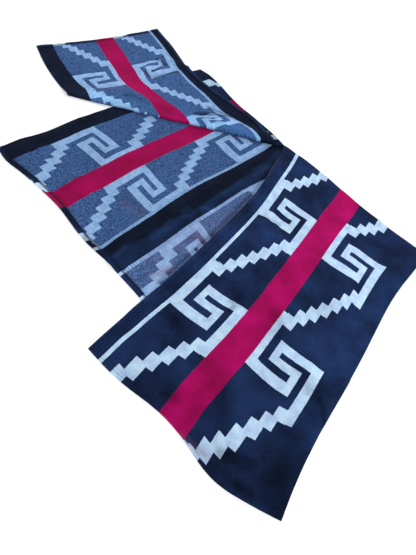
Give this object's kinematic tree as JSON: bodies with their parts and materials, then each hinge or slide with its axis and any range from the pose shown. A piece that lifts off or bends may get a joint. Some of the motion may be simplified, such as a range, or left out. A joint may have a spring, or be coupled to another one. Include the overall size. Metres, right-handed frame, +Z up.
{
  "type": "ruana",
  "caption": "Open-fronted ruana of two joined lengths of stepped-fret jacquard cloth, laid out flat with one front folded over the back and the other turned back on itself.",
  "frame": {"origin": "middle of the garment's underside, where its box meets the surface it lies on", "axes": "+Z up from the surface, +X across the garment from its left front's side to its right front's side, +Y along the back from hem to shoulder"},
  "size_m": [2.06, 1.239, 0.0326],
  "materials": {
    "denim_inside": "heathered blue jacquard, inside of the cloth",
    "navy_outside": "brushed navy jacquard, outside of the cloth"
  },
  "bodies": {
    "root": {"left_length": "denim_inside", "right_length": "navy_outside"}
  },
  "joints": []
}
